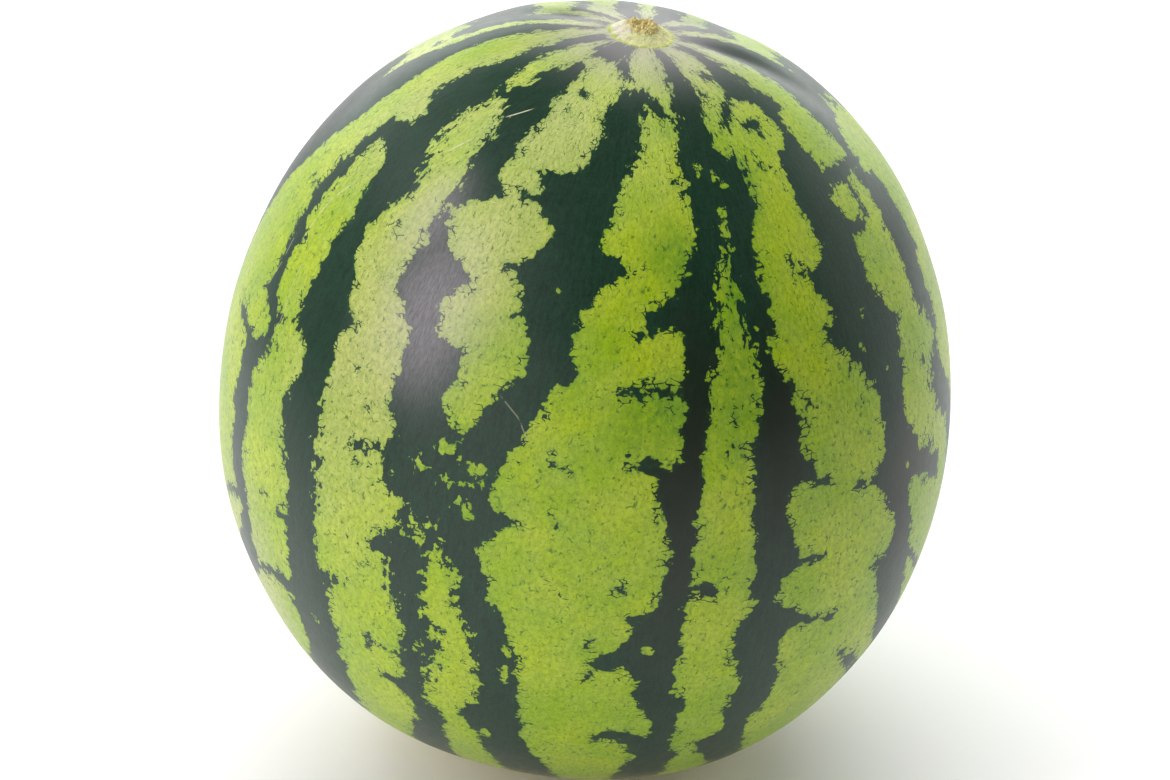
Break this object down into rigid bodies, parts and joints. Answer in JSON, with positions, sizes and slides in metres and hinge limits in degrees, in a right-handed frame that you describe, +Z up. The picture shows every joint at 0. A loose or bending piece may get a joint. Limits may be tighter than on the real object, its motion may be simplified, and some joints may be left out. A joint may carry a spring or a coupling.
{
  "type": "watermelon",
  "caption": "Whole round watermelon with a smooth waxy rind in dark and light green stripes and a low cut stem scar, standing on a small flat spot.",
  "frame": {"origin": "on the flat spot that the fruit rests on, under the middle of the fruit", "axes": "+Z up, from the flat spot at the blossom end towards the stem scar; the stem scar leans from +Z towards +X; -Y is the front"},
  "size_m": [0.2396, 0.2416, 0.2592],
  "materials": {
    "rind": "satin",
    "stem_scar": "matte"
  },
  "bodies": {
    "root": {"watermelon": "rind"}
  },
  "joints": []
}
